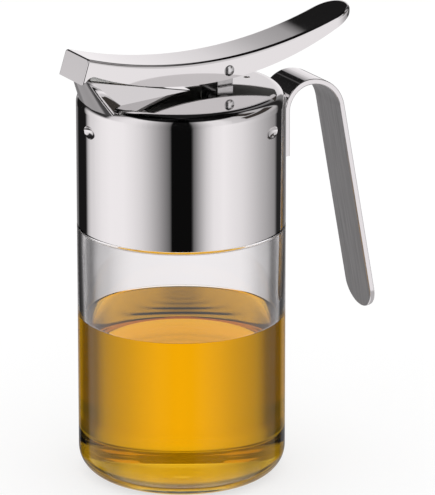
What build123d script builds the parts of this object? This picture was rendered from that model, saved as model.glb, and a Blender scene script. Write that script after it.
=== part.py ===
from build123d import *
from math import acos, asin, atan2, cos, hypot, radians, sin, sqrt
import os

# Oil and syrup pourer: a straight glass jar, a push-on drawn steel cap with a pouring beak,
# a thumb lever that lies over the beak as its lid, and a bent strip handle.
# The jar stands on Z = 0 with its axis on Z. The beak points along -X and the handle along +X,
# and the whole pourer is symmetric about the plane Y = 0. All sizes are in millimetres.

# Glass jar
body_radius = 32.5
jar_height = 81.3
jar_wall = 2.4
jar_floor = 3.4
jar_corner = 8.0
jar_inner_corner = 7.0
jar_taper = 0.8
jar_taper_height = 7.4
jar_ceiling_drop = 1.2
shoulder_round = 0.8
collar_gap = 0.4
collar_height = 3.2
neck_height = 11.0
neck_wall = 2.6
neck_lip_round = 0.9

# Drawn steel cap
cap_gap = 0.3
cap_height = 42.8
cap_round = 4.0
sheet = 0.8
vent_radius = 1.0
vent_inset = 9.0

# Pressed dimples that hold the sleeve in the cap
dimple_count = 3
dimple_drop = 9.6
dimple_length = 9.0
dimple_radius = 2.2
dimple_depth = 1.3

# Pouring beak: its root line, the corner where its flank meets the cap's edge, and its lip,
# which reaches out past the jar's wall
beak_root_x = 1.2
beak_root_half_width = 3.8
beak_crease_inset = 5.9
beak_crease_angle = 16.6
beak_foot_angle = 21.5
beak_crease_drop = 2.0
beak_cheek_share = 0.2
beak_lean_share = 1.65
beak_edge_sink = 0.05
beak_prow_round = 0.8
beak_rim_round = 0.3
lip_corner_reach = 2.7
lip_reach = 4.4
lip_half_width = 7.0
lip_height = 8.7
mouth_length = 15.0
mouth_half_width = 4.1
mouth_rim = 1.5
mouth_round = 2.0
mouth_play = 0.2

# Plastic sleeve inside the cap and its silicone seal
sleeve_play = 0.1
sleeve_wall = 1.8
neck_play = 1.2
sleeve_foot_gap = 0.6
sleeve_top_drop = 5.6
ledge_thickness = 1.8
ledge_reach = 4.0
ledge_gap = 0.3
window_margin = 0.6
seal_height = 4.2
seal_foot = 1.4
seal_groove = 0.6
seal_gap = 0.3
seal_rib_height = 0.9

# Thumb lever, an upturned drawn tray whose front and thumb end reach out past the jar's wall
lever_half_width = 7.5
lever_sheet = 0.8
lever_low_x = 6.0
lever_low_height = 9.5
lever_bend_radius = 138.0
lever_front_reach = 3.7
lever_rear_reach = 27.0
lever_edge_round = 1.2
lever_corner_round = 0.5
skirt_low_x = 5.0
skirt_low_height = 2.5
skirt_bend_radius = 103.0
skirt_rear_depth = 2.1
front_wall_depth = 8.3
toe_length = 1.0
toe_rise = 0.3
notch_reach = 1.9
notch_bow = 0.5
pad_gap = 0.3
pad_side_gap = 0.4
pad_length = 20.0
plug_depth = 0.8
plug_play = 0.6

# Hinge: welded bracket, rivet pin, spacer washers and return spring
pivot_x = 12.9
pivot_height = 5.5
pin_radius = 1.1
pin_play = 0.05
pin_head_radius = 1.75
pin_head_height = 0.8
bracket_half_width = 5.0
bracket_length = 5.4
bracket_sheet = 1.0
bracket_bend_round = 0.8
washer_radius = 2.3
washer_play = 0.1
spring_wire = 0.7
spring_play = 0.35
spring_turns = 5
spring_pitch = 1.0
spring_leg_rise = 30.0
spring_leg_high = 10.0
spring_leg_gap = 0.3

# Strip handle
handle_half_width = 7.5
handle_sheet = 1.8
handle_standoff = 0.5
handle_foot_z = 99.0
handle_crown_drop = 1.6
crown_reach = 10.0
crown_round_out = 12.4
leg_lean = 10.5
handle_tip_z = 42.6
handle_edge_round = 0.35
weld_half_width = 4.5
weld_length = 9.0
weld_rise = 3.0

# How far a cutting shape passes beyond what it cuts
cut_margin = 2.0

# Heights, places and radii that follow from the sizes above
shoulder_z = jar_height
neck_top_z = shoulder_z + neck_height
collar_top_z = shoulder_z + collar_height
rim_z = shoulder_z + cap_gap
top_z = rim_z + cap_height
cap_inner_radius = body_radius - sheet
sleeve_radius = cap_inner_radius - sleeve_play
sleeve_inner_radius = sleeve_radius - sleeve_wall
neck_radius = sleeve_inner_radius - neck_play
sleeve_foot_z = collar_top_z + sleeve_foot_gap
sleeve_top_z = top_z - sleeve_top_drop
ledge_z = neck_top_z + ledge_gap
pivot_z = top_z + pivot_height
lever_low_z = top_z + lever_low_height
skirt_low_z = top_z + skirt_low_height
lever_centre_z = lever_low_z + lever_bend_radius
skirt_centre_z = skirt_low_z + skirt_bend_radius
dimple_z = top_z - dimple_drop
foot_radius = body_radius - cap_round - beak_edge_sink
foot_radius += sqrt(cap_round ** 2 - (cap_round - beak_crease_drop) ** 2)
vent_x = body_radius - vent_inset
lip_corner_x = -body_radius - lip_corner_reach
lip_front_x = -body_radius - lip_reach
lever_front_x = -body_radius - lever_front_reach
lever_rear_x = body_radius + lever_rear_reach
notch_x = -body_radius - notch_reach
crown_x = body_radius + crown_reach


def revolved(points):
    """A solid of revolution about Z from a closed outline of (radius, height) points."""
    return revolve(make_face(Polyline([(r, 0, z) for r, z in points], close=True)), Axis.Z)


def side_face(*edges):
    """A face in the plane Y = 0 from edges drawn as (X, Z) shapes."""
    return make_face([Plane.XZ * edge for edge in edges])


def extrude_across(face, half_width):
    """A solid that reaches half_width to both sides of the plane Y = 0."""
    return extrude(face, half_width, both=True)


def glass_jar():
    """Jar whose shoulder steps in by a little for the cap's skirt, with a collar and a plain neck above."""
    collar_radius = cap_inner_radius - collar_gap
    outside = revolved([
        (0, 0), (body_radius, 0), (body_radius, shoulder_z), (collar_radius, shoulder_z),
        (collar_radius, collar_top_z), (neck_radius, collar_top_z), (neck_radius, neck_top_z), (0, neck_top_z),
    ])
    rims = outside.edges().filter_by(GeomType.CIRCLE).sort_by(Axis.Z)
    outside = fillet(rims[0], jar_corner)
    wide = [e for e in outside.edges().filter_by(GeomType.CIRCLE) if abs(e.radius - body_radius) < 0.01]
    outside = fillet(ShapeList(wide).sort_by(Axis.Z)[-1], shoulder_round)
    wide = [e for e in outside.edges().filter_by(GeomType.CIRCLE) if abs(e.radius - collar_radius) < 0.01]
    outside = fillet(ShapeList(wide).sort_by(Axis.Z)[-1], shoulder_round)
    inner_radius = body_radius - jar_wall
    throat_radius = neck_radius - neck_wall
    ceiling_z = collar_top_z - jar_wall
    inside = revolved([
        (0, jar_floor), (inner_radius, jar_floor), (inner_radius, ceiling_z - jar_ceiling_drop - jar_taper_height),
        (inner_radius - jar_taper, ceiling_z - jar_ceiling_drop), (throat_radius, ceiling_z),
        (throat_radius, neck_top_z + cut_margin), (0, neck_top_z + cut_margin),
    ])
    floor_edge = inside.edges().filter_by(GeomType.CIRCLE).sort_by(Axis.Z)[0]
    inside = fillet(floor_edge, jar_inner_corner)
    jar = outside - inside
    mouth = jar.edges().filter_by(GeomType.CIRCLE).group_by(Axis.Z)[-1]
    return fillet(mouth, neck_lip_round)


def outward_plane(first, second, third):
    """First point and outward normal of a plane on the beak's near side, through three points."""
    normal = (third - first).cross(second - first).normalized()
    if normal.Y > 0:
        normal = normal * -1
    return first, normal


def beak_corners():
    """Near corners of the beak: crease corner on the cap's flat, foot corner on its round, lip corner."""
    crease_radius = body_radius - beak_crease_inset
    crease = radians(beak_crease_angle)
    foot = radians(beak_foot_angle)
    return (
        Vector(-crease_radius * cos(crease), -crease_radius * sin(crease), top_z),
        Vector(-foot_radius * cos(foot), -foot_radius * sin(foot), top_z - beak_crease_drop),
        Vector(lip_corner_x, -lip_half_width, top_z + lip_height),
    )


def flank_plane():
    """The plane of the beak's near flank, through its root, its crease corner and its lip corner."""
    crease, _, lip = beak_corners()
    return outward_plane(Vector(beak_root_x, -beak_root_half_width, top_z), crease, lip)


def cheek_plane():
    """The plane of the beak's near cheek, between its crease corner, its foot corner and its lip corner."""
    crease, foot, lip = beak_corners()
    return outward_plane(crease, foot, lip)


def cheek_crease(z, inset):
    """Where the near flank and the near cheek meet at a height, both moved inwards by the inset."""
    (p, n), (q, m) = flank_plane(), cheek_plane()
    a = n.dot(p) - n.Z * z - inset
    b = m.dot(q) - m.Z * z - inset
    turn = n.X * m.Y - n.Y * m.X
    return (a * m.Y - b * n.Y) / turn, (n.X * b - m.X * a) / turn


def cheek_foot(radius, z, inset):
    """Where the near cheek, moved inwards by the inset, meets a circle about the jar's axis at a height."""
    q, m = cheek_plane()
    reach = (m.dot(q) - m.Z * z - inset) / hypot(m.X, m.Y)
    angle = atan2(m.Y, m.X) - acos(reach / radius)
    return radius * cos(angle), radius * sin(angle)


def flank_half_width(x, z, inset):
    """Half the beak's width at a point of its flank, less the inset measured square to the flank."""
    root, normal = flank_plane()
    across = normal.X * (x - root.X) + normal.Z * (z - root.Z) + inset
    return -(root.Y - across / normal.Y)


def rim_height(x, inset=0.0):
    """Height of the beak's sloping rim above the cap, less the inset square to the rim."""
    slope = lip_height / (beak_root_x - lip_corner_x)
    return slope * (beak_root_x - x) - inset * sqrt(1 + slope * slope)


def lip_arc(lip_x, front_x, lip_y, lip_z, front_z):
    """The lip's arc in three parts, the outer two standing over the cheeks."""
    whole = Edge(ThreePointArc((lip_x, -lip_y, lip_z), (front_x, 0, front_z), (lip_x, lip_y, lip_z)).wrapped)
    return [whole.trim(0, beak_cheek_share), whole.trim(beak_cheek_share, 1 - beak_cheek_share),
            whole.trim(1 - beak_cheek_share, 1)]


def beak_block(inset, depth):
    """The beak as a solid prow: ruled from an arc on the cap's round, with a cheek each side, to the lip.

    The front leans out over its foot, so its inner face is set back by more than the sheet."""
    low_z = top_z - depth
    setback = inset * beak_lean_share
    front_radius = foot_radius - setback
    rear_x = beak_root_x - inset
    crease_x, crease_y = cheek_crease(low_z, inset)
    foot_x, foot_y = cheek_foot(front_radius, low_z, inset)
    rear_y = flank_half_width(rear_x, low_z, inset)
    low = Wire([
        Line((crease_x, crease_y, low_z), (foot_x, foot_y, low_z)),
        ThreePointArc((foot_x, foot_y, low_z), (-front_radius, 0, low_z), (foot_x, -foot_y, low_z)),
        Line((foot_x, -foot_y, low_z), (crease_x, -crease_y, low_z)),
        Line((crease_x, -crease_y, low_z), (rear_x, rear_y, low_z)),
        Line((rear_x, rear_y, low_z), (rear_x, -rear_y, low_z)),
        Line((rear_x, -rear_y, low_z), (crease_x, crease_y, low_z)),
    ])
    lip_x = lip_corner_x + setback
    front_x = lip_front_x + setback
    lip_z = top_z + rim_height(lip_x, inset)
    front_z = top_z + rim_height(front_x, inset)
    lip_y = flank_half_width(lip_x, lip_z, inset)
    root_z = top_z + rim_height(rear_x, inset)
    root_y = flank_half_width(rear_x, root_z, inset)
    high = Wire(lip_arc(lip_x, front_x, lip_y, lip_z, front_z) + [
        Line((lip_x, lip_y, lip_z), (rear_x, root_y, root_z)),
        Line((rear_x, root_y, root_z), (rear_x, -root_y, root_z)),
        Line((rear_x, -root_y, root_z), (lip_x, -lip_y, lip_z)),
    ])
    return Solid.make_loft([low, high], ruled=True)


def rim_plane(lift=0.0):
    """Plane of the beak's rim, with its X axis running forwards and its origin at the beak's root."""
    slope = Vector(lip_corner_x - beak_root_x, 0, lip_height).normalized()
    plane = Plane(origin=(beak_root_x, 0, top_z), x_dir=slope, z_dir=slope.cross(Vector(0, 1, 0)))
    if plane.z_dir.Z < 0:
        plane = Plane(origin=(beak_root_x, 0, top_z), x_dir=slope, z_dir=plane.z_dir * -1)
    return plane.offset(lift)


def mouth_shape(play=0.0):
    """Outline of the pouring mouth on the rim plane, shrunk by the play all round."""
    rim_length = hypot(beak_root_x - lip_front_x, rim_height(lip_front_x))
    front = rim_length - mouth_rim - play
    rear = rim_length - mouth_rim - mouth_length + play
    half = mouth_half_width - play
    bow = (lip_corner_x - lip_front_x) * (half / lip_half_width) ** 2
    outline = make_face([
        ThreePointArc((front - bow, -half), (front, 0), (front - bow, half)),
        Line((front - bow, half), (rear, half)),
        Line((rear, half), (rear, -half)),
        Line((rear, -half), (front - bow, -half)),
    ])
    return fillet(outline.vertices(), mouth_round - play)


def dimple_tools(extra):
    """Spindle shapes for the pressed dimples, grown by the sheet for their inner side."""
    half = dimple_length / 2 + extra
    sink = dimple_depth - dimple_radius
    arc = ThreePointArc((-half, 0), (0, dimple_radius + extra), (half, 0))
    spindle = revolve(make_face([arc, Line((half, 0), (-half, 0))]), Axis.X)
    tool = Pos(-(body_radius - sink), 0, dimple_z) * (Rot(0, 0, 90) * spindle)
    return [Rot(0, 0, 360 / dimple_count * i) * tool for i in range(dimple_count)]


def on_rim(point):
    """Whether a point lies on the beak's sloping rim, ahead of its root."""
    return abs(point.Z - top_z - rim_height(point.X)) < 0.01 and point.X < beak_root_x + 0.01


def round_beak(block):
    """Rounds the edges between the front and the cheeks, then the rim all round."""
    half_way = top_z + lip_height / 2
    prow = []
    for edge in block.edges():
        low, high = sorted(((edge @ 0).Z, (edge @ 1).Z))
        if high > half_way and low < top_z - sheet:
            prow.append(edge)
    block = fillet(prow, beak_prow_round)
    rim = [e for e in block.edges() if on_rim(e @ 0) and on_rim(e @ 1) and max((e @ 0).Z, (e @ 1).Z) > half_way]
    return fillet(rim, beak_rim_round)


def cap_shell():
    """Drawn cap with the beak pressed up out of its top, its mouth, the vent and three dimples."""
    block = Pos(0, 0, rim_z) * extrude(Circle(body_radius), cap_height)
    block = fillet(block.edges().sort_by(Axis.Z)[-1], cap_round)
    block = round_beak(block + beak_block(0.0, beak_crease_drop))
    cavity = Pos(0, 0, rim_z) * extrude(Circle(cap_inner_radius), cap_height - sheet)
    cavity = fillet(cavity.edges().sort_by(Axis.Z)[-1], cap_round - sheet)
    for bump in dimple_tools(sheet):
        cavity -= bump
    cavity += beak_block(sheet, beak_crease_drop + sheet)
    shell = block - cavity
    for scoop in dimple_tools(0.0):
        shell -= scoop
    through = sheet + cut_margin
    shell -= rim_plane(-sheet - mouth_play) * extrude(mouth_shape(), through)
    shell -= Pos(vent_x, 0, top_z - through) * extrude(Circle(vent_radius), 2 * through)
    return shell


def sleeve():
    """Plastic sleeve clipped into the cap by its dimples, with a ledge that sits on the jar's neck."""
    groove_z = sleeve_foot_z + seal_foot
    body = revolved([
        (sleeve_inner_radius, sleeve_foot_z), (sleeve_radius, sleeve_foot_z),
        (sleeve_radius, sleeve_top_z), (sleeve_inner_radius, sleeve_top_z),
        (sleeve_inner_radius, ledge_z + ledge_thickness),
        (sleeve_inner_radius - ledge_reach, ledge_z + ledge_thickness),
        (sleeve_inner_radius - ledge_reach, ledge_z), (sleeve_inner_radius, ledge_z),
        (sleeve_inner_radius, groove_z + seal_height),
        (sleeve_inner_radius + seal_groove, groove_z + seal_height),
        (sleeve_inner_radius + seal_groove, groove_z), (sleeve_inner_radius, groove_z),
    ])
    window_width = dimple_length + 2 * (sheet + window_margin)
    window_height = 2 * (dimple_radius + sheet + window_margin)
    window_depth = 2 * (sleeve_wall + cut_margin)
    window = Pos(-sleeve_radius, 0, dimple_z) * Box(window_depth, window_width, window_height)
    for i in range(dimple_count):
        body -= Rot(0, 0, 360 / dimple_count * i) * window
    return body


def neck_seal():
    """Silicone ring in the sleeve's groove, with two ribs that grip the glass neck."""
    low = sleeve_foot_z + seal_foot
    back = sleeve_inner_radius + seal_groove - sleeve_play
    tip = neck_radius + seal_gap
    web = (back + tip) / 2
    gap = (seal_height - 2 * seal_rib_height) / 4
    low += sleeve_play
    step = seal_rib_height
    return revolved([
        (back, low), (back, low + seal_height - 2 * sleeve_play),
        (web, low + seal_height - 2 * sleeve_play), (web, low + gap + 2 * step + 2 * gap),
        (tip, low + gap + 1.5 * step + 2 * gap), (web, low + gap + step + 2 * gap),
        (web, low + gap + step), (tip, low + gap + step / 2), (web, low + gap), (web, low),
    ])


def arc_z(centre_x, centre_z, radius, x):
    """Height of a valley-shaped arc at a given X."""
    return centre_z - sqrt(radius ** 2 - (x - centre_x) ** 2)


def roof_z(x, inset=0.0):
    """Height of the lever's roof at a given X, on its top or the inset below it."""
    return arc_z(lever_low_x, lever_centre_z, lever_bend_radius + inset, x)


def skirt_z(x):
    """Height of the lever skirt's lower edge at a given X."""
    return arc_z(skirt_low_x, skirt_centre_z, skirt_bend_radius, x)


def front_wall(inset):
    """Top and foot of the lever's front wall, square to its roof, moved back by the inset."""
    slope = (lever_low_x - lever_front_x) / lever_bend_radius
    down = Vector(-slope, 0, -sqrt(1 - slope ** 2))
    back = Vector(-down.Z, 0, down.X)
    top = Vector(lever_front_x, 0, roof_z(lever_front_x)) + back * inset
    return top, top + down * front_wall_depth


def roof_arc(front_x, rear_x, inset=0.0):
    """The roof's side line between two places, on its top or the inset below it."""
    ends = [(x, roof_z(x, inset)) for x in (front_x, rear_x)]
    return ThreePointArc(ends[0], (lever_low_x, roof_z(lever_low_x, inset)), ends[1])


def lever_side(inset):
    """Side view of the lever, or with an inset the side view of the space under its roof."""
    reach = lever_rear_x + cut_margin
    top, foot = front_wall(inset)
    roof = roof_arc(top.X, reach, inset)
    if inset:
        low = top_z
        return side_face(
            roof,
            Line((reach, roof_z(reach, inset)), (reach, low)),
            Line((reach, low), (foot.X, low)),
            Line((foot.X, low), (foot.X, foot.Z)),
            Line((foot.X, foot.Z), (top.X, roof_z(top.X, inset))),
        )
    toe = (foot.X + toe_length, foot.Z + toe_rise)
    notch = (notch_x, skirt_z(notch_x))
    notch_middle = ((notch[0] + toe[0]) / 2 - notch_bow, (notch[1] + toe[1]) / 2 + notch_bow)
    rear_skirt = side_face(
        roof_arc(0.0, reach),
        Line((reach, roof_z(reach)), (reach, roof_z(reach, skirt_rear_depth))),
        roof_arc(0.0, reach, skirt_rear_depth),
        Line((0.0, roof_z(0.0, skirt_rear_depth)), (0.0, roof_z(0.0))),
    )
    return rear_skirt + side_face(
        roof,
        Line((reach, roof_z(reach)), (reach, skirt_z(reach))),
        ThreePointArc((reach, skirt_z(reach)), (skirt_low_x, skirt_low_z), notch),
        ThreePointArc(notch, notch_middle, toe),
        Line(toe, (foot.X, foot.Z)),
        Line((foot.X, foot.Z), (top.X, roof_z(top.X))),
    )


def lever_plan(inset):
    """Plan view of the lever: straight sides and a full round at the thumb end."""
    half = lever_half_width - inset
    centre_x = lever_rear_x - lever_half_width
    front_x = lever_front_x - front_wall_depth
    outline = make_face([
        Line((front_x, -half), (centre_x, -half)),
        ThreePointArc((centre_x, -half), (centre_x + half, 0), (centre_x, half)),
        Line((centre_x, half), (front_x, half)),
        Line((front_x, half), (front_x, -half)),
    ])
    return Pos(0, 0, top_z) * extrude(outline, 2 * lever_low_height + front_wall_depth)


def cross_bore(radius, half_width):
    """A cylinder along the hinge axis."""
    return Pos(pivot_x, 0, pivot_z) * (Rot(90, 0, 0) * extrude(Circle(radius), half_width, both=True))


def lever():
    """Upturned tray, curved like a shallow valley, with a skirt all round."""
    outer = extrude_across(lever_side(0.0), lever_half_width) & lever_plan(0.0)
    roof = max(outer.faces().filter_by(GeomType.CYLINDER), key=lambda face: face.normal_at().Z)
    sides = [edge for edge in roof.edges() if edge.center().X > lever_front_x + lever_edge_round]
    outer = fillet(sides, lever_edge_round)
    front_corners = [
        edge for edge in outer.edges().filter_by(GeomType.LINE)
        if edge.center().X < lever_front_x and abs(edge.center().Y) > lever_half_width - lever_corner_round
    ]
    outer = fillet(front_corners, lever_corner_round)
    inner = extrude_across(lever_side(lever_sheet), lever_half_width) & lever_plan(lever_sheet)
    return outer - inner - cross_bore(pin_radius + pin_play, 2 * lever_half_width)


def closing_pad():
    """Silicone pad under the lever's roof, with a plug that enters the pouring mouth."""
    front_x = front_wall(lever_sheet + pad_side_gap)[0].X
    middle_x = front_x + pad_length / 2
    rear_x = front_x + pad_length
    front_high, middle_high, rear_high = [
        (x, roof_z(x, lever_sheet)) for x in (front_x, middle_x, rear_x)
    ]
    front_low, rear_low = [(x, top_z + rim_height(x, -pad_gap)) for x in (front_x, rear_x)]
    pad = extrude_across(side_face(
        ThreePointArc(front_high, middle_high, rear_high),
        Line(rear_high, rear_low),
        Line(rear_low, front_low),
        Line(front_low, front_high),
    ), lever_half_width - lever_sheet - pad_side_gap)
    plug = rim_plane(pad_gap) * extrude(mouth_shape(plug_play), -(plug_depth + pad_gap))
    return pad + plug


def hinge_bracket():
    """U-shaped bracket: a foot welded to the cap's top and two ears bored for the pin."""
    foot = Pos(pivot_x, 0, top_z) * Box(
        bracket_length, 2 * bracket_half_width, bracket_sheet, align=(Align.CENTER, Align.CENTER, Align.MIN)
    )
    half = bracket_length / 2
    ear = side_face(
        Line((pivot_x - half, top_z), (pivot_x + half, top_z)),
        Line((pivot_x + half, top_z), (pivot_x + half, pivot_z)),
        ThreePointArc((pivot_x + half, pivot_z), (pivot_x, pivot_z + half), (pivot_x - half, pivot_z)),
        Line((pivot_x - half, pivot_z), (pivot_x - half, top_z)),
    )
    ears = extrude_across(ear, bracket_half_width)
    ears -= extrude_across(ear, bracket_half_width - bracket_sheet)
    bracket = foot + ears
    bends = bracket.edges().filter_by(Axis.X).group_by(Axis.Z)[0]
    bracket = fillet(bends, bracket_bend_round)
    return bracket - cross_bore(pin_radius + pin_play, 2 * bracket_half_width)


def hinge_pin():
    """Rivet through the lever's skirts and the bracket's ears, with a low domed head at each side."""
    seat = lever_half_width
    crown = seat + pin_head_height
    dome_radius = (pin_head_radius ** 2 + pin_head_height ** 2) / (2 * pin_head_height)
    half_angle = asin(pin_head_radius / dome_radius) / 2
    bulge_x = dome_radius * sin(half_angle)
    bulge_y = crown - dome_radius * (1 - cos(half_angle))
    outline = make_face([
        ThreePointArc((0, -crown), (bulge_x, -bulge_y), (pin_head_radius, -seat)),
        Line((pin_head_radius, -seat), (pin_radius, -seat)),
        Line((pin_radius, -seat), (pin_radius, seat)),
        Line((pin_radius, seat), (pin_head_radius, seat)),
        ThreePointArc((pin_head_radius, seat), (bulge_x, bulge_y), (0, crown)),
        Line((0, crown), (0, -crown)),
    ])
    return Pos(pivot_x, 0, pivot_z) * revolve(outline, Axis.Y)


def spacer_washer(side):
    """Plastic washer that keeps the lever's skirt off the bracket's ear."""
    thickness = lever_half_width - lever_sheet - bracket_half_width - 2 * washer_play
    ring = extrude(Circle(washer_radius) - Circle(pin_radius + pin_play), thickness)
    inner_face = bracket_half_width + washer_play
    return Pos(pivot_x, side * inner_face, pivot_z) * (Rot(-90 * side, 0, 0) * ring)


def return_spring():
    """Torsion spring round the pin: one leg bears on the cap's top, the other under the lever's roof."""
    coil_radius = pin_radius + spring_play + spring_wire / 2
    length = spring_turns * spring_pitch
    helix = Pos(0, 0, -length / 2) * Helix(spring_pitch, length, coil_radius)
    section = Plane(origin=helix @ 0, z_dir=helix % 0) * Circle(spring_wire / 2)
    spring = sweep(section, path=helix)
    rise = sin(radians(spring_leg_rise))
    coil_drop = coil_radius * cos(radians(spring_leg_rise))
    low_leg = (pivot_height - coil_drop - spring_wire / 2 - spring_leg_gap) / rise
    for end, travel in ((helix @ 0, -low_leg), (helix @ 1, spring_leg_high)):
        leg = Plane(origin=end, z_dir=(0, 1, 0)) * extrude(Circle(spring_wire / 2), travel)
        spring += leg
    lean = radians(spring_leg_rise)
    seat = Plane(origin=(pivot_x, 0, pivot_z), x_dir=(sin(lean), 0, -cos(lean)), z_dir=(0, -1, 0))
    return seat * spring


def strip_line(depth):
    """The strip handle's side line, the given depth below its outer face, from foot to free end."""
    crown_z = top_z - handle_crown_drop
    round_in = crown_x - body_radius - handle_standoff
    lean = radians(leg_lean)
    left = round_in - depth
    right = crown_round_out - depth
    left_z = crown_z - round_in
    right_z = crown_z - crown_round_out
    half_in = radians(45)
    half_out = (radians(90) + lean) / 2
    turn = Vector(crown_x + right * cos(lean), right_z + right * sin(lean))
    leg = (right_z + crown_round_out * sin(lean) - handle_tip_z) / cos(lean)
    return [
        Line((crown_x - left, handle_foot_z), (crown_x - left, left_z)),
        ThreePointArc(
            (crown_x - left, left_z),
            (crown_x - left * cos(half_in), left_z + left * sin(half_in)),
            (crown_x, left_z + left),
        ),
        ThreePointArc(
            (crown_x, right_z + right),
            (crown_x + right * cos(half_out), right_z + right * sin(half_out)),
            (turn.X, turn.Y),
        ),
        Line((turn.X, turn.Y), (turn.X + leg * sin(lean), turn.Y - leg * cos(lean))),
    ]


def handle():
    """Bent strip: a short leg welded to the cap, a crown, and a long leg with a rounded free end."""
    outside = strip_line(0.0)
    inside = strip_line(handle_sheet)
    foot = Line(outside[0] @ 0, inside[0] @ 0)
    tip = Line(outside[-1] @ 1, inside[-1] @ 1)
    strip = extrude_across(side_face(*outside, *inside, foot, tip), handle_half_width)
    lean = radians(leg_lean)
    end = (outside[-1] @ 1 + inside[-1] @ 1) / 2
    leg_plane = Plane(origin=(end.X, 0, end.Y), x_dir=(0, 1, 0), z_dir=(cos(lean), 0, sin(lean)))
    corners = Pos(0, handle_half_width / 2) * Rectangle(3 * handle_half_width, handle_half_width)
    corners -= Pos(0, handle_half_width) * Circle(handle_half_width)
    strip -= leg_plane * extrude(corners, handle_sheet, both=True)
    strip = fillet(strip.edges().filter_by(GeomType.LINE, reverse=True), handle_edge_round)
    weld = Pos(body_radius, 0, handle_foot_z + weld_rise) * Box(
        2 * handle_standoff + handle_sheet, 2 * weld_half_width, weld_length,
        align=(Align.CENTER, Align.CENTER, Align.MIN),
    )
    weld -= Pos(0, 0, handle_foot_z) * extrude(Circle(body_radius), weld_rise + 2 * weld_length)
    return strip + weld


def main():
    os.makedirs("parts", exist_ok=True)
    parts = {
        "glass_jar": glass_jar(),
        "cap_shell": cap_shell(),
        "inner_sleeve": sleeve(),
        "neck_seal": neck_seal(),
        "strip_handle": handle(),
        "hinge_bracket": hinge_bracket(),
        "hinge_pin": hinge_pin(),
        "near_washer": spacer_washer(-1),
        "far_washer": spacer_washer(1),
        "return_spring": return_spring(),
        "thumb_lever": lever(),
        "closing_pad": closing_pad(),
    }
    for name, shape in parts.items():
        export_step(shape, f"parts/{name}.step")


if __name__ == "__main__":
    main()
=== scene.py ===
"""Lever-lid oil pourer: finishes, oil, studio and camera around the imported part. All sizes in metres."""
import math

import bmesh
import bpy
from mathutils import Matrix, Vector


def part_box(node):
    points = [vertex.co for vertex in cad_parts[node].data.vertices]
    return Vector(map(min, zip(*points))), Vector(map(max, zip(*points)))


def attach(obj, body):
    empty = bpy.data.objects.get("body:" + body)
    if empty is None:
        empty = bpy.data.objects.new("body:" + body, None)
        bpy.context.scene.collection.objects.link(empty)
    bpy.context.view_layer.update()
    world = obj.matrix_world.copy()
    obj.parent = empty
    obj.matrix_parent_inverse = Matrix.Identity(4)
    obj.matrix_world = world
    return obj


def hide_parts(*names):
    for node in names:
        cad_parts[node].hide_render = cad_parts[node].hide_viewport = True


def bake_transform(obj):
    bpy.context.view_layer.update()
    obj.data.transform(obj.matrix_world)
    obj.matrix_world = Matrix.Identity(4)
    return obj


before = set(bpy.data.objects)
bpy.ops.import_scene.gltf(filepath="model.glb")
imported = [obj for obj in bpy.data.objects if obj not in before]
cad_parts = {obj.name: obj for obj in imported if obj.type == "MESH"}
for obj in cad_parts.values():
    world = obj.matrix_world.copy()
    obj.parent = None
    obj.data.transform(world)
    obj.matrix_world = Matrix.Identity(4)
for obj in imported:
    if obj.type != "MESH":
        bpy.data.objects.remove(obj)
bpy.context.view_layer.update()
MM = 0.001

# Camera: a long lens that looks down from the front left
CAMERA_AZIMUTH = -30.0
CAMERA_ELEVATION = 18.2
CAMERA_DISTANCE = 1.6
CAMERA_AIM = Vector((10.545, -4.231, 71.968)) * MM
CAMERA_LENS = 372.8
CAMERA_SENSOR = 36.0

# Glass jar, as the part has it inside its box
JAR_WALL = 2.4 * MM
JAR_FLOOR = 3.4 * MM
JAR_CORNER = 8.0 * MM
JAR_INNER_CORNER = 7.0 * MM
JAR_TAPER = 0.8 * MM
JAR_TAPER_HEIGHT = 7.4 * MM
JAR_CEILING_DROP = 1.2 * MM
SHOULDER_ROUND = 0.8 * MM
COLLAR_RADIUS = 31.3 * MM
COLLAR_HEIGHT = 3.2 * MM
NECK_RADIUS = 28.6 * MM
NECK_HEIGHT = 11.0 * MM
NECK_WALL = 2.6 * MM
NECK_LIP_ROUND = 0.9 * MM

# Oil in the jar, and the small rise where it wets the wall
OIL_LEVEL = 51.2 * MM
OIL_OVERLAP = 0.05 * MM
MENISCUS_RISE = 0.4 * MM
MENISCUS_WIDTH = 1.6 * MM

# Meshes of revolution
LATHE_STEPS = 256
CORNER_STEPS = 20
JAR_SHARP_ANGLE = math.radians(35)
OIL_SHARP_ANGLE = math.radians(50)

# Slots of the jar's mesh. A face is its underside below this height above its base, and is level where its
# normal points up by more than this.
CLEAR, WETTED, SATIN, RINGED = range(4)
UNDERSIDE_HEIGHT = 0.001 * MM
LEVEL_NORMAL = 0.5

# Somewhere in the handle's grip: faces that look at it are the strip's inner face
GRIP_CENTRE = Vector((44.0, 0.0, 80.0)) * MM

# The lever's inside, which is given painted shade: its normals point down past the first of these, or back
# at the lever's middle plane, so that their Y part times the place's Y is below the second
UNDERSIDE_NORMAL = -0.25
INWARD_NORMAL = -1.5 * MM

# Steel: noise scales are per metre, and stops are (noise, tone)
STEEL = (0.86, 0.8471, 0.8471, 1)
STEEL_ROUGHNESS = (0.02, 0.05)
HAZE_SCALE = 90.0
# Painted shade: the darker colour of the lever's inside, where shade falls under and within it
PAINTED_SHADE_STEEL = (0.30, 0.30, 0.29, 1)
DULL_ROUGHNESS = 0.3
STRIP_STEEL = (0.86, 0.845, 0.85, 1)
STRIP_ROUGHNESS = (0.05, 0.32)
# Inner face tones: random brushed grain, plus painted shade that keeps the whole face darker than the outer
# face
BRUSHED_AND_SHADED_TONES = [(0.3, 0.42), (0.7, 0.56)]
BRUSHED_SCALE = 1600.0
BRUSHED_STRETCH = (0.2, 1.0, 0.015)
SPECKLE_SCALE = 1200.0
SPECKLE_TONES = [(0.3, 0.9), (0.7, 1.08)]
GRAIN_DEPTH = 0.02 * MM

# Plastic and silicone
MOULDED_SCALE = 1500.0
MOULDED_SHADE = 0.93
SCATTER_RADIUS = 1.0 * MM

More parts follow.
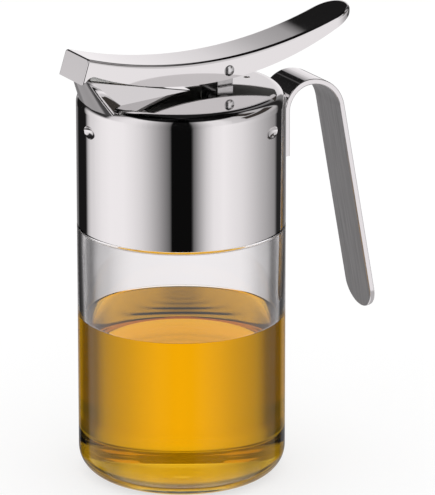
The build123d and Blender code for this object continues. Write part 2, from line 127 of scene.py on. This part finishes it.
# Glass, and the share of its mirror reflections that it shows where it is dry and where oil wets it
GLASS_IOR = 1.5
DRY_MIRRORING = 0.25
WET_MIRRORING = 0.0
SATIN_ROUGHNESS = 0.5
WAVE_SCALE = 45.0
WAVE_DEPTH = 0.05 * MM
RING_SPACING = 5.0 * MM
RING_DEPTH = 0.012 * MM

# Oil: its colour deepens with thickness, and it mirrors only where its normal points up, at its free surface
OIL_IOR = 1.47
OIL_FACE = (1.0, 1.0, 0.98, 1)
OIL_COLOUR = (0.984, 0.86, 0.03, 1)
OIL_DENSITY = 100.0
FREE_SURFACE_NORMAL = 0.2

# Floor: pale paper that is white in full light, by what it reflects and what it adds for the camera
FLOOR_RADIUS = 4.0
FLOOR_SEGMENTS = 96
FLOOR_DROP = 0.05 * MM
FLOOR_COLOUR = (0.36, 0.36, 0.36, 1)
FLOOR_GLOW = 0.66

# The studio is written as (degrees, brightness) stops. Sides are degrees round from the camera's side,
# positive to the camera's right, and heights are degrees of elevation. All of it has a faint warm tint.
STUDIO_TINT = (1.0, 0.97, 0.985, 1)

# Cards that metal mirrors: at eye level, a little higher, and by height
CARDS = [
    (-180, 0.30), (-160, 0.20), (-154, 0.01), (-129, 0.01), (-124, 0.50), (-118, 0.74), (-112, 0.78),
    (-98, 0.92), (-84, 0.98), (-66, 0.97), (-54, 0.88), (-44, 0.77), (-35, 0.61), (-26, 0.43),
    (-12, 0.14), (-10, 0.004), (12, 0.004), (14, 0.16), (23, 0.52), (28, 0.71), (36, 0.90), (48, 0.97),
    (71, 0.83), (95, 0.56), (125, 0.29), (131, 0.02), (143, 0.02), (150, 0.20), (180, 0.30),
]
CARDS_ABOVE = [
    (-180, 0.30), (-160, 0.20), (-154, 0.01), (-112, 0.02), (-90, 0.05), (-84, 0.70), (-66, 0.90),
    (-54, 0.88), (-44, 0.77), (-35, 0.61), (-26, 0.43), (-12, 0.14), (-10, 0.004), (12, 0.004),
    (14, 0.16), (23, 0.52), (36, 0.85), (50, 0.88), (62, 0.66), (84, 0.58), (110, 0.50), (129, 0.50),
    (132, 0.02), (143, 0.02), (150, 0.20), (180, 0.30),
]
ABOVE_HEIGHTS = [(-90, 0.0), (1, 0.0), (11, 1.0), (90, 1.0)]
CARD_HEIGHTS = [(-90, 1.0), (51, 1.0), (57, 0.01), (90, 0.01)]

# Two black flags above the cards on the right: where each one stands, and their colour
FLAG_SIDES = [(-180, 0.0), (76, 0.0), (79, 1.0), (125, 1.0), (129, 0.0), (180, 0.0)]
FLAG_HEIGHTS = [(-90, 0.0), (17.5, 0.0), (19.5, 1.0), (34.4, 1.0), (35.4, 0.0), (90, 0.0)]
UPPER_FLAG_SIDES = [(-180, 0.0), (87, 0.0), (90, 1.0), (108, 1.0), (112, 0.0), (180, 0.0)]
UPPER_FLAG_HEIGHTS = [(-90, 0.0), (37, 0.0), (39, 1.0), (90, 1.0)]
FLAG_COLOUR = (0.045, 0.04, 0.035, 1)

# Backdrop that metal mirrors: by height, and where it hides the cards, either way round
BACKDROP_HEIGHTS = [
    (-90, 0.95), (0, 0.95), (10, 0.87), (17, 0.77), (21, 0.63), (24, 0.48), (27.8, 0.36), (28.6, 0.012),
    (78, 0.012), (90, 0.04),
]
BACKDROP_SIDES = [(0, 0.0), (156, 0.0), (159, 1.0), (180, 1.0)]
BACKDROP_ABOVE = [(-90, 0.0), (-7, 0.0), (-4, 1.0), (90, 1.0)]

# Table that metal mirrors: by height, by its lighter sides, and where it hides the rest
TABLE_MIRRORED = [
    (-90, 0.90), (-66, 0.80), (-54, 0.30), (-44, 0.09), (-38, 0.05), (-33, 0.05), (-27, 0.12), (90, 0.12),
]
TABLE_SIDES = [
    (-180, 0.44), (-150, 0.36), (-132, 0.34), (-117, 0.38), (-112, 0.10), (-108, 0.04), (-104, 0.0),
    (-46, 0.0), (-38, 0.50), (132, 0.50), (180, 0.44),
]
TABLE_BELOW = [(-90, 1.0), (-28, 1.0), (-24, 0.0), (90, 0.0)]

# What shows behind the glass, by sides either way round: through the empty jar, through the oil, and
# through the oil's foot, which shows what is higher up
BEHIND_EMPTY = [
    (0, 0.70), (100, 0.80), (138, 0.75), (144, 0.30), (149, 0.08), (158, 0.03), (167, 0.03), (169, 0.12),
    (171.5, 0.42), (174.5, 0.56), (177, 0.84), (180, 0.88),
]
BEHIND_OIL = [
    (0, 0.45), (10, 0.45), (30, 0.70), (84, 0.90), (100, 0.70), (109, 0.50), (117, 0.16), (124, 0.12),
    (130, 0.12), (136.5, 0.17), (145, 0.44), (152.5, 0.57), (159, 0.68), (164.5, 0.81), (172, 0.96),
    (180, 1.0),
]
BEHIND_ABOVE = [
    (0, 0.60), (100, 1.0), (125, 1.0), (140, 0.60), (150, 0.55), (158, 0.85), (170, 1.0), (180, 1.0),
]
# The same by height: mirrored in the oil's surface, through its foot, where these take over, and the
# white table below
MIRRORED_IN_OIL = [(-90, 0.9), (5, 0.9), (12, 0.55), (18, 0.38), (40, 0.38), (90, 0.30)]
BEHIND_HEIGHTS = [(-90, 0.9), (5, 0.9), (8, 0.20), (12, 0.30), (15, 0.95), (90, 1.0)]
BEHIND_UPWARD = [(-90, 0.0), (2, 0.0), (9, 1.0), (90, 1.0)]
BEHIND_BELOW = [(-90, 1.0), (-30, 1.0), (-25, 0.0), (90, 0.0)]
# A ray that has passed through fewer surfaces than this has been through the empty jar alone
EMPTY_JAR_DEPTH = 4.5


def feed(tree, socket, value):
    """Sets a socket to a number or a colour, or links another socket to it."""
    if isinstance(value, bpy.types.NodeSocket):
        tree.links.new(value, socket)
    else:
        socket.default_value = value


def node_tree(material):
    """Clears a material's nodes and gives its tree with a Principled shader joined to the output."""
    material.use_nodes = True
    tree = material.node_tree
    tree.nodes.clear()
    output = tree.nodes.new("ShaderNodeOutputMaterial")
    shader = tree.nodes.new("ShaderNodeBsdfPrincipled")
    tree.links.new(shader.outputs["BSDF"], output.inputs["Surface"])
    return tree, shader, output


def ramp(tree, value, stops):
    """A colour ramp with (place, grey level) stops fed by a value socket."""
    made = tree.nodes.new("ShaderNodeValToRGB")
    elements = made.color_ramp.elements
    elements[0].position = stops[0][0]
    elements[1].position = stops[-1][0]
    elements[0].color = (stops[0][1],) * 3 + (1,)
    elements[1].color = (stops[-1][1],) * 3 + (1,)
    for place, level in stops[1:-1]:
        elements.new(place).color = (level, level, level, 1)
    tree.links.new(value, made.inputs["Fac"])
    return made.outputs["Color"]


def math_node(tree, operation, *values):
    """A math node between sockets or numbers."""
    made = tree.nodes.new("ShaderNodeMath")
    made.operation = operation
    for socket, value in zip(made.inputs, values):
        feed(tree, socket, value)
    return made.outputs[0]


def colour_mix(tree, blend, factor, first, second):
    """A colour mix whose factor, A and B are sockets or values."""
    made = tree.nodes.new("ShaderNodeMix")
    made.data_type = "RGBA"
    made.blend_type = blend
    made.clamp_result = False
    feed(tree, made.inputs[0], factor)
    colour_inputs = [socket for socket in made.inputs if socket.type == "RGBA"]
    for socket, value in zip(colour_inputs, (first, second)):
        feed(tree, socket, value)
    return next(socket for socket in made.outputs if socket.type == "RGBA")


def around_ramp(tree, turn, stops):
    """Grey level by degrees round from the camera's side; the turn runs from 0 to 1."""
    return ramp(tree, turn, [((degrees + 180) / 360, level) for degrees, level in stops])


def aside_ramp(tree, aside, stops):
    """Grey level by degrees from the camera's side, either way round; 1 is straight behind."""
    return ramp(tree, aside, [(degrees / 180, level) for degrees, level in stops])


def height_ramp(tree, rise, stops):
    """Grey level by elevation in degrees; the rise runs from 0 to 1."""
    return ramp(tree, rise, [((degrees + 90) / 180, level) for degrees, level in stops])


def sky_directions(tree):
    """Turn round from the camera's side (0 to 1), share of a half turn either way, and rise (0 to 1)."""
    place = tree.nodes.new("ShaderNodeTexCoord")
    turned = tree.nodes.new("ShaderNodeVectorRotate")
    turned.rotation_type = "Z_AXIS"
    turned.inputs["Angle"].default_value = -math.radians(CAMERA_AZIMUTH)
    tree.links.new(place.outputs["Generated"], turned.inputs["Vector"])
    parts = tree.nodes.new("ShaderNodeSeparateXYZ")
    tree.links.new(turned.outputs[0], parts.inputs[0])
    toward_camera = math_node(tree, "MULTIPLY", parts.outputs["Y"], -1.0)
    around = math_node(tree, "ARCTAN2", parts.outputs["X"], toward_camera)
    turn = math_node(tree, "MULTIPLY_ADD", around, 0.5 / math.pi, 0.5)
    aside = math_node(tree, "ABSOLUTE", math_node(tree, "MULTIPLY_ADD", turn, 2.0, -1.0))
    height = math_node(tree, "ARCSINE", parts.outputs["Z"])
    rise = math_node(tree, "MULTIPLY_ADD", height, 1 / math.pi, 0.5)
    return turn, aside, rise


def flagged_cards(tree, turn, rise):
    """Pale cards round the object, with two black flags above those on the right."""
    level = around_ramp(tree, turn, CARDS)
    above = around_ramp(tree, turn, CARDS_ABOVE)
    cards = colour_mix(tree, "MIX", height_ramp(tree, rise, ABOVE_HEIGHTS), level, above)
    flags = [
        colour_mix(tree, "MULTIPLY", 1.0, around_ramp(tree, turn, sides), height_ramp(tree, rise, heights))
        for sides, heights in ((FLAG_SIDES, FLAG_HEIGHTS), (UPPER_FLAG_SIDES, UPPER_FLAG_HEIGHTS))
    ]
    either_flag = colour_mix(tree, "LIGHTEN", 1.0, flags[0], flags[1])
    flagged = colour_mix(tree, "MIX", either_flag, cards, FLAG_COLOUR)
    return colour_mix(tree, "MULTIPLY", 1.0, flagged, height_ramp(tree, rise, CARD_HEIGHTS))


def mirrored_studio(tree, turn, aside, rise):
    """Cards round the object, a backdrop behind it and the table under it, as metal mirrors them."""
    cards = flagged_cards(tree, turn, rise)
    behind = aside_ramp(tree, aside, BACKDROP_SIDES)
    above = height_ramp(tree, rise, BACKDROP_ABOVE)
    backdrop_share = math_node(tree, "MULTIPLY", behind, above)
    room = colour_mix(tree, "MIX", backdrop_share, cards, height_ramp(tree, rise, BACKDROP_HEIGHTS))
    table = height_ramp(tree, rise, TABLE_MIRRORED)
    lightest = colour_mix(tree, "LIGHTEN", 1.0, table, around_ramp(tree, turn, TABLE_SIDES))
    return colour_mix(tree, "MIX", height_ramp(tree, rise, TABLE_BELOW), room, lightest)


def studio_behind(tree, aside, rise, empty):
    """Backdrop with darker sides and the white table, as they show through the glass and the oil."""
    filled = aside_ramp(tree, aside, BEHIND_OIL)
    level = colour_mix(tree, "MIX", empty, filled, aside_ramp(tree, aside, BEHIND_EMPTY))
    sides = aside_ramp(tree, aside, BEHIND_ABOVE)
    foot = colour_mix(tree, "MULTIPLY", 1.0, sides, height_ramp(tree, rise, BEHIND_HEIGHTS))
    high = colour_mix(tree, "MIX", empty, foot, height_ramp(tree, rise, MIRRORED_IN_OIL))
    room = colour_mix(tree, "MIX", height_ramp(tree, rise, BEHIND_UPWARD), level, high)
    return colour_mix(tree, "MIX", height_ramp(tree, rise, BEHIND_BELOW), room, (1, 1, 1, 1))


def studio_world():
    """White to the camera, plain to matt surfaces, and a studio of cards to metal and glass."""
    world = bpy.data.worlds.new("studio")
    bpy.context.scene.world = world
    world.use_nodes = True
    tree = world.node_tree
    tree.nodes.clear()
    output = tree.nodes.new("ShaderNodeOutputWorld")
    background = tree.nodes.new("ShaderNodeBackground")
    tree.links.new(background.outputs[0], output.inputs["Surface"])
    turn, aside, rise = sky_directions(tree)
    rays = tree.nodes.new("ShaderNodeLightPath")
    empty = math_node(tree, "LESS_THAN", rays.outputs["Transmission Depth"], EMPTY_JAR_DEPTH)
    mirrored = mirrored_studio(tree, turn, aside, rise)
    through = studio_behind(tree, aside, rise, empty)
    pattern = colour_mix(tree, "MIX", rays.outputs["Is Transmission Ray"], mirrored, through)
    tinted = colour_mix(tree, "MULTIPLY", 1.0, pattern, STUDIO_TINT)
    shown = math_node(tree, "MAXIMUM", rays.outputs["Is Glossy Ray"], rays.outputs["Is Transmission Ray"])
    colour = colour_mix(tree, "MIX", shown, (1, 1, 1, 1), tinted)
    tree.links.new(colour, background.inputs["Color"])
    background.inputs["Strength"].default_value = 1.0


def floor_paper():
    """Pale paper that keeps the object's shadow and is white where nothing shades it."""
    material = bpy.data.materials.new("floor_paper")
    material.use_nodes = True
    tree = material.node_tree
    tree.nodes.clear()
    output = tree.nodes.new("ShaderNodeOutputMaterial")
    paper = tree.nodes.new("ShaderNodeBsdfDiffuse")
    paper.inputs["Color"].default_value = FLOOR_COLOUR
    glow = tree.nodes.new("ShaderNodeEmission")
    rays = tree.nodes.new("ShaderNodeLightPath")
    strength = math_node(tree, "MULTIPLY", rays.outputs["Is Camera Ray"], FLOOR_GLOW)
    tree.links.new(strength, glow.inputs["Strength"])
    both = tree.nodes.new("ShaderNodeAddShader")
    tree.links.new(paper.outputs[0], both.inputs[0])
    tree.links.new(glow.outputs[0], both.inputs[1])
    tree.links.new(both.outputs[0], output.inputs["Surface"])
    return material


def studio_floor():
    """A wide round floor that metal and glass don't show."""
    mesh = bpy.data.meshes.new("floor")
    made = bmesh.new()
    bmesh.ops.create_circle(made, cap_ends=True, radius=FLOOR_RADIUS, segments=FLOOR_SEGMENTS)
    made.to_mesh(mesh)
    made.free()
    mesh.materials.append(floor_paper())
    floor = bpy.data.objects.new("floor", mesh)
    floor.location.z = -FLOOR_DROP
    floor.visible_glossy = False
    floor.visible_transmission = False
    bpy.context.scene.collection.objects.link(floor)


def object_noise(tree, scale, stretch=(1, 1, 1), detail=3.0):
    """Noise in the object's own coordinates, stretched by scaling them."""
    place = tree.nodes.new("ShaderNodeTexCoord")
    mapping = tree.nodes.new("ShaderNodeMapping")
    mapping.inputs["Scale"].default_value = stretch
    noise = tree.nodes.new("ShaderNodeTexNoise")
    noise.inputs["Scale"].default_value = scale
    noise.inputs["Detail"].default_value = detail
    tree.links.new(place.outputs["Object"], mapping.inputs["Vector"])
    tree.links.new(mapping.outputs[0], noise.inputs["Vector"])
    return noise.outputs["Fac"]


def bump(tree, shader, height, strength, depth):
    """Joins a height to the shader's normal."""
    made = tree.nodes.new("ShaderNodeBump")
    made.inputs["Strength"].default_value = strength
    made.inputs["Distance"].default_value = depth
    tree.links.new(height, made.inputs["Height"])
    tree.links.new(made.outputs[0], shader.inputs["Normal"])


def between(tree, value, ends):
    """A number between two ends, as a value socket goes from 0 to 1."""
    made = tree.nodes.new("ShaderNodeMapRange")
    made.inputs["To Min"].default_value = ends[0]
    made.inputs["To Max"].default_value = ends[1]
    tree.links.new(value, made.inputs["Value"])
    return made.outputs[0]


def surface_part(tree, source, axis):
    """The X, Y or Z part of the surface's own Normal, or of its place in the Object."""
    place = tree.nodes.new("ShaderNodeTexCoord")
    split = tree.nodes.new("ShaderNodeSeparateXYZ")
    tree.links.new(place.outputs[source], split.inputs[0])
    return split.outputs[axis]


def polished_steel(name):
    """Mirror-polished steel with faint polishing haze."""
    material = bpy.data.materials.new(name)
    tree, shader, _ = node_tree(material)
    shader.inputs["Base Color"].default_value = STEEL
    shader.inputs["Metallic"].default_value = 1.0
    haze = object_noise(tree, HAZE_SCALE)
    tree.links.new(between(tree, haze, STEEL_ROUGHNESS), shader.inputs["Roughness"])
    return material


def pressed_steel(name):
    """Tray pressed from steel sheet: mirror-polished outside, rougher inside, where painted shade also
    darkens its colour.
    """
    material = polished_steel(name)
    tree = material.node_tree
    shader = next(node for node in tree.nodes if node.type == "BSDF_PRINCIPLED")
    across = surface_part(tree, "Normal", "Y")
    outward = math_node(tree, "MULTIPLY", across, surface_part(tree, "Object", "Y"))
    under = math_node(tree, "LESS_THAN", surface_part(tree, "Normal", "Z"), UNDERSIDE_NORMAL)
    inward = math_node(tree, "LESS_THAN", outward, INWARD_NORMAL)
    inside_rough_and_shaded = math_node(tree, "MAXIMUM", under, inward)
    # Painted shade: the inside faces take a darker colour, besides their added roughness
    tree.links.new(colour_mix(tree, "MIX", inside_rough_and_shaded, STEEL, PAINTED_SHADE_STEEL), shader.inputs["Base Color"])
    polish = shader.inputs["Roughness"].links[0].from_socket
    dull = math_node(tree, "MULTIPLY", inside_rough_and_shaded, DULL_ROUGHNESS)
    tree.links.new(math_node(tree, "ADD", polish, dull), shader.inputs["Roughness"])
    return material


def strip_steel(name):
    """Steel strip, polished on its outer face and edges and finely brushed along its inner face, which
    painted shade also makes darker.
    """
    material = bpy.data.materials.new(name)
    tree, shader, _ = node_tree(material)
    shader.inputs["Metallic"].default_value = 1.0
    place = tree.nodes.new("ShaderNodeTexCoord")
    to_grip = tree.nodes.new("ShaderNodeVectorMath")
    to_grip.operation = "SUBTRACT"
    to_grip.inputs[0].default_value = GRIP_CENTRE
    tree.links.new(place.outputs["Object"], to_grip.inputs[1])
    facing = tree.nodes.new("ShaderNodeVectorMath")
    facing.operation = "DOT_PRODUCT"
    tree.links.new(to_grip.outputs[0], facing.inputs[0])
    tree.links.new(place.outputs["Normal"], facing.inputs[1])
    inner = math_node(tree, "GREATER_THAN", facing.outputs["Value"], 0.0)
    grain = object_noise(tree, BRUSHED_SCALE, stretch=BRUSHED_STRETCH, detail=5.0)
    brushed_and_shaded = ramp(tree, grain, BRUSHED_AND_SHADED_TONES)
    # Painted shade: the inner face takes the darker brushed tones
    tree.links.new(colour_mix(tree, "MIX", inner, STRIP_STEEL, brushed_and_shaded), shader.inputs["Base Color"])
    tree.links.new(between(tree, inner, STRIP_ROUGHNESS), shader.inputs["Roughness"])
    bump(tree, shader, math_node(tree, "MULTIPLY", grain, inner), strength=0.25, depth=GRAIN_DEPTH)
    return material


def satin_steel(name, tone, roughness):
    """Small stamped or turned steel parts with a satin surface."""
    material = bpy.data.materials.new(name)
    tree, shader, _ = node_tree(material)
    shader.inputs["Metallic"].default_value = 1.0
    speckle = object_noise(tree, SPECKLE_SCALE)
    tones = [(place, tone * share) for place, share in SPECKLE_TONES]
    tree.links.new(ramp(tree, speckle, tones), shader.inputs["Base Color"])
    shader.inputs["Roughness"].default_value = roughness
    bump(tree, shader, speckle, strength=0.15, depth=GRAIN_DEPTH)
    return material


def moulded(name, colour, roughness, subsurface=0.0):
    """Moulded plastic or silicone with a fine matt surface."""
    material = bpy.data.materials.new(name)
    tree, shader, _ = node_tree(material)
    grain = object_noise(tree, MOULDED_SCALE)
    pale = colour + (1,)
    dark = tuple(part * MOULDED_SHADE for part in colour) + (1,)
    tree.links.new(colour_mix(tree, "MIX", grain, pale, dark), shader.inputs["Base Color"])
    shader.inputs["Roughness"].default_value = roughness
    shader.inputs["Subsurface Weight"].default_value = subsurface
    shader.inputs["Subsurface Radius"].default_value = (SCATTER_RADIUS,) * 3
    bump(tree, shader, grain, strength=0.2, depth=GRAIN_DEPTH)
    return material


def even_glass(name, mirroring=DRY_MIRRORING, roughness=0.0):
    """Clear glass with an even surface, and its tree and shader."""
    material = bpy.data.materials.new(name)
    tree, shader, _ = node_tree(material)
    shader.inputs["Base Color"].default_value = (1, 1, 1, 1)
    shader.inputs["Roughness"].default_value = roughness
    shader.inputs["IOR"].default_value = GLASS_IOR
    shader.inputs["Transmission Weight"].default_value = 1.0
    shader.inputs["Specular Tint"].default_value = (mirroring, mirroring, mirroring, 1)
    return material, tree, shader


def clear_glass(name, **surface):
    """Clear pressed glass with a barely wavy surface."""
    material, tree, shader = even_glass(name, **surface)
    wave = object_noise(tree, WAVE_SCALE, stretch=(1.0, 1.0, 0.5), detail=1.0)
    bump(tree, shader, wave, strength=0.08, depth=WAVE_DEPTH)
    return material


def ringed_glass(name):
    """The jar's underside: clear glass pressed with faint rings round the axis."""
    material, tree, shader = even_glass(name)
    place = tree.nodes.new("ShaderNodeTexCoord")
    flat = tree.nodes.new("ShaderNodeVectorMath")
    flat.operation = "MULTIPLY"
    flat.inputs[1].default_value = (1, 1, 0)
    tree.links.new(place.outputs["Object"], flat.inputs[0])
    radius = tree.nodes.new("ShaderNodeVectorMath")
    radius.operation = "LENGTH"
    tree.links.new(flat.outputs[0], radius.inputs[0])
    phase = math_node(tree, "MULTIPLY", radius.outputs["Value"], 2 * math.pi / RING_SPACING)
    bump(tree, shader, math_node(tree, "SINE", phase), strength=1.0, depth=RING_DEPTH)
    return material


def golden_oil(name):
    """Clear golden oil that deepens with thickness and mirrors only at its free surface."""
    material = bpy.data.materials.new(name)
    tree, shader, output = node_tree(material)
    shader.inputs["Base Color"].default_value = OIL_FACE
    shader.inputs["Roughness"].default_value = 0.0
    shader.inputs["IOR"].default_value = OIL_IOR
    shader.inputs["Transmission Weight"].default_value = 1.0
    free = math_node(tree, "GREATER_THAN", surface_part(tree, "Normal", "Z"), FREE_SURFACE_NORMAL)
    mirroring = colour_mix(tree, "MIX", free, (0, 0, 0, 1), (1, 1, 1, 1))
    tree.links.new(mirroring, shader.inputs["Specular Tint"])
    depth = tree.nodes.new("ShaderNodeVolumeAbsorption")
    depth.inputs["Color"].default_value = OIL_COLOUR
    depth.inputs["Density"].default_value = OIL_DENSITY
    tree.links.new(depth.outputs[0], output.inputs["Volume"])
    return material


def quarter(centre, radius, start):
    """Points of a quarter circle in the (radius, height) plane, anticlockwise from an angle in degrees."""
    angles = [math.radians(start + 90 * i / CORNER_STEPS) for i in range(CORNER_STEPS + 1)]
    return [(centre[0] + radius * math.cos(a), centre[1] + radius * math.sin(a)) for a in angles]


def lathe(name, outline):
    """A closed smooth object turned about Z from (radius, height) points that start and end on the axis."""
    turns = [2 * math.pi * i / LATHE_STEPS for i in range(LATHE_STEPS)]
    made = bmesh.new()
    rings = []
    for radius, height in outline:
        if radius == 0:
            rings.append([made.verts.new((0, 0, height))])
        else:
            places = [(radius * math.cos(a), radius * math.sin(a), height) for a in turns]
            rings.append([made.verts.new(place) for place in places])
    for low, high in zip(rings, rings[1:]):
        for i in range(LATHE_STEPS):
            j = (i + 1) % LATHE_STEPS
            corners = [low[i % len(low)], low[j % len(low)], high[j % len(high)], high[i % len(high)]]
            made.faces.new(list(dict.fromkeys(corners)))
    bmesh.ops.recalc_face_normals(made, faces=made.faces)
    mesh = bpy.data.meshes.new(name)
    made.to_mesh(mesh)
    made.free()
    mesh.shade_smooth()
    made_object = bpy.data.objects.new(name, mesh)
    bpy.context.scene.collection.objects.link(made_object)
    return made_object


def jar_outline(radius, base, top):
    """Half section of the jar: up its outside from the axis, over the lip and down its inside."""
    shoulder = top - NECK_HEIGHT
    collar_top = shoulder + COLLAR_HEIGHT
    bore = radius - JAR_WALL
    throat = NECK_RADIUS - NECK_WALL
    ceiling = collar_top - JAR_WALL
    ceiling_foot = ceiling - JAR_CEILING_DROP
    floor = base + JAR_FLOOR
    outline = [(0, base)]
    outline += quarter((radius - JAR_CORNER, base + JAR_CORNER), JAR_CORNER, -90)
    outline += quarter((radius - SHOULDER_ROUND, shoulder - SHOULDER_ROUND), SHOULDER_ROUND, 0)
    outline.append((COLLAR_RADIUS, shoulder))
    outline += quarter((COLLAR_RADIUS - SHOULDER_ROUND, collar_top - SHOULDER_ROUND), SHOULDER_ROUND, 0)
    outline.append((NECK_RADIUS, collar_top))
    outline += quarter((NECK_RADIUS - NECK_LIP_ROUND, top - NECK_LIP_ROUND), NECK_LIP_ROUND, 0)
    outline += quarter((throat + NECK_LIP_ROUND, top - NECK_LIP_ROUND), NECK_LIP_ROUND, 90)
    outline += [(throat, ceiling), (bore - JAR_TAPER, ceiling_foot)]
    outline += [(bore, ceiling_foot - JAR_TAPER_HEIGHT), (bore, OIL_LEVEL + MENISCUS_RISE)]
    outline += reversed(quarter((bore - JAR_INNER_CORNER, floor + JAR_INNER_CORNER), JAR_INNER_CORNER, -90))
    outline.append((0, floor))
    return outline


def jar_slot(face, base, shoulder):
    """Which glass a face of the jar has, by the way it faces and its height."""
    to_axis = face.normal.x * face.center.x + face.normal.y * face.center.y < 0
    inside = to_axis or face.normal.z > LEVEL_NORMAL
    if inside and face.center.z < OIL_LEVEL + MENISCUS_RISE:
        return WETTED
    if not inside and face.center.z > shoulder - SHOULDER_ROUND:
        return SATIN
    if face.center.z < base + UNDERSIDE_HEIGHT:
        return RINGED
    return CLEAR


def jar_glass():
    """The glass jar, finer than the part's: clear, wetted inside, satin under the cap, ringed below."""
    low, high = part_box("glass_jar")
    made = lathe("jar_glass", jar_outline(high.x, low.z, high.z))
    made.data.materials.append(clear_glass("clear_glass"))
    made.data.materials.append(clear_glass("wetted_glass", mirroring=WET_MIRRORING))
    made.data.materials.append(clear_glass("satin_glass", roughness=SATIN_ROUGHNESS))
    made.data.materials.append(ringed_glass("ringed_glass"))
    for face in made.data.polygons:
        face.material_index = jar_slot(face, low.z, high.z - NECK_HEIGHT)
    made.data.set_sharp_from_angle(angle=JAR_SHARP_ANGLE)
    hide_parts("glass_jar")
    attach(made, "jar")


def oil():
    """The oil: it wets the glass, with a rounded foot and a small meniscus at the wall."""
    low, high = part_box("glass_jar")
    radius = high.x - JAR_WALL + OIL_OVERLAP
    floor = low.z + JAR_FLOOR - OIL_OVERLAP
    corner = JAR_INNER_CORNER + OIL_OVERLAP
    outline = [(0, floor)]
    outline += quarter((radius - corner, floor + corner), corner, -90)
    outline.append((radius, OIL_LEVEL + MENISCUS_RISE))
    for i in range(1, CORNER_STEPS + 1):
        share = i / CORNER_STEPS
        outline.append((radius - MENISCUS_WIDTH * share, OIL_LEVEL + MENISCUS_RISE * (1 - share) ** 3))
    outline.append((0, OIL_LEVEL))
    made = lathe("oil", outline)
    made.data.materials.append(golden_oil("golden_oil"))
    made.data.set_sharp_from_angle(angle=OIL_SHARP_ANGLE)
    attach(made, "jar")


def wound_spring():
    """The return spring, wound round the pin by the lever: its upper leg follows the lever's roof."""
    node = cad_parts["return_spring"]
    made = bpy.data.objects.new("wound_spring", node.data.copy())
    made.data.materials.clear()
    made.data.materials.append(satin_steel("spring_steel", tone=0.5, roughness=0.3))
    bpy.context.scene.collection.objects.link(made)
    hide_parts("return_spring")
    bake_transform(made)


def dress(names, material):
    """Gives CAD nodes a material."""
    for name in names:
        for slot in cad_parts[name].material_slots:
            slot.material = material


def camera():
    """A camera at the photograph's viewing angle."""
    data = bpy.data.cameras.new("camera")
    data.lens = CAMERA_LENS
    data.sensor_width = CAMERA_SENSOR
    made = bpy.data.objects.new("camera", data)
    azimuth = math.radians(CAMERA_AZIMUTH)
    elevation = math.radians(CAMERA_ELEVATION)
    level = math.cos(elevation)
    back = Vector((math.sin(azimuth) * level, -math.cos(azimuth) * level, math.sin(elevation)))
    made.location = CAMERA_AIM + back * CAMERA_DISTANCE
    made.rotation_mode = "QUATERNION"
    made.rotation_quaternion = (-back).to_track_quat("-Z", "Y")
    bpy.context.scene.collection.objects.link(made)
    bpy.context.scene.camera = made


dress(["glass_jar"], clear_glass("solid_glass"))
dress(["cap_shell"], polished_steel("polished_steel"))
dress(["thumb_lever"], pressed_steel("lever_steel"))
dress(["strip_handle"], strip_steel("handle_steel"))
dress(["hinge_bracket"], satin_steel("bracket_steel", tone=0.66, roughness=0.22))
dress(["hinge_pin"], satin_steel("pin_steel", tone=0.8, roughness=0.2))
dress(["inner_sleeve"], moulded("sleeve_plastic", (0.86, 0.86, 0.84), roughness=0.45))
dress(["near_washer", "far_washer"], moulded("washer_plastic", (0.88, 0.88, 0.86), roughness=0.5))
silicone = moulded("seal_silicone", (0.84, 0.84, 0.82), roughness=0.55, subsurface=0.3)
dress(["neck_seal", "closing_pad"], silicone)
wound_spring()
jar_glass()
oil()
studio_world()
studio_floor()
camera()
bpy.context.scene.view_settings.view_transform = "Standard"
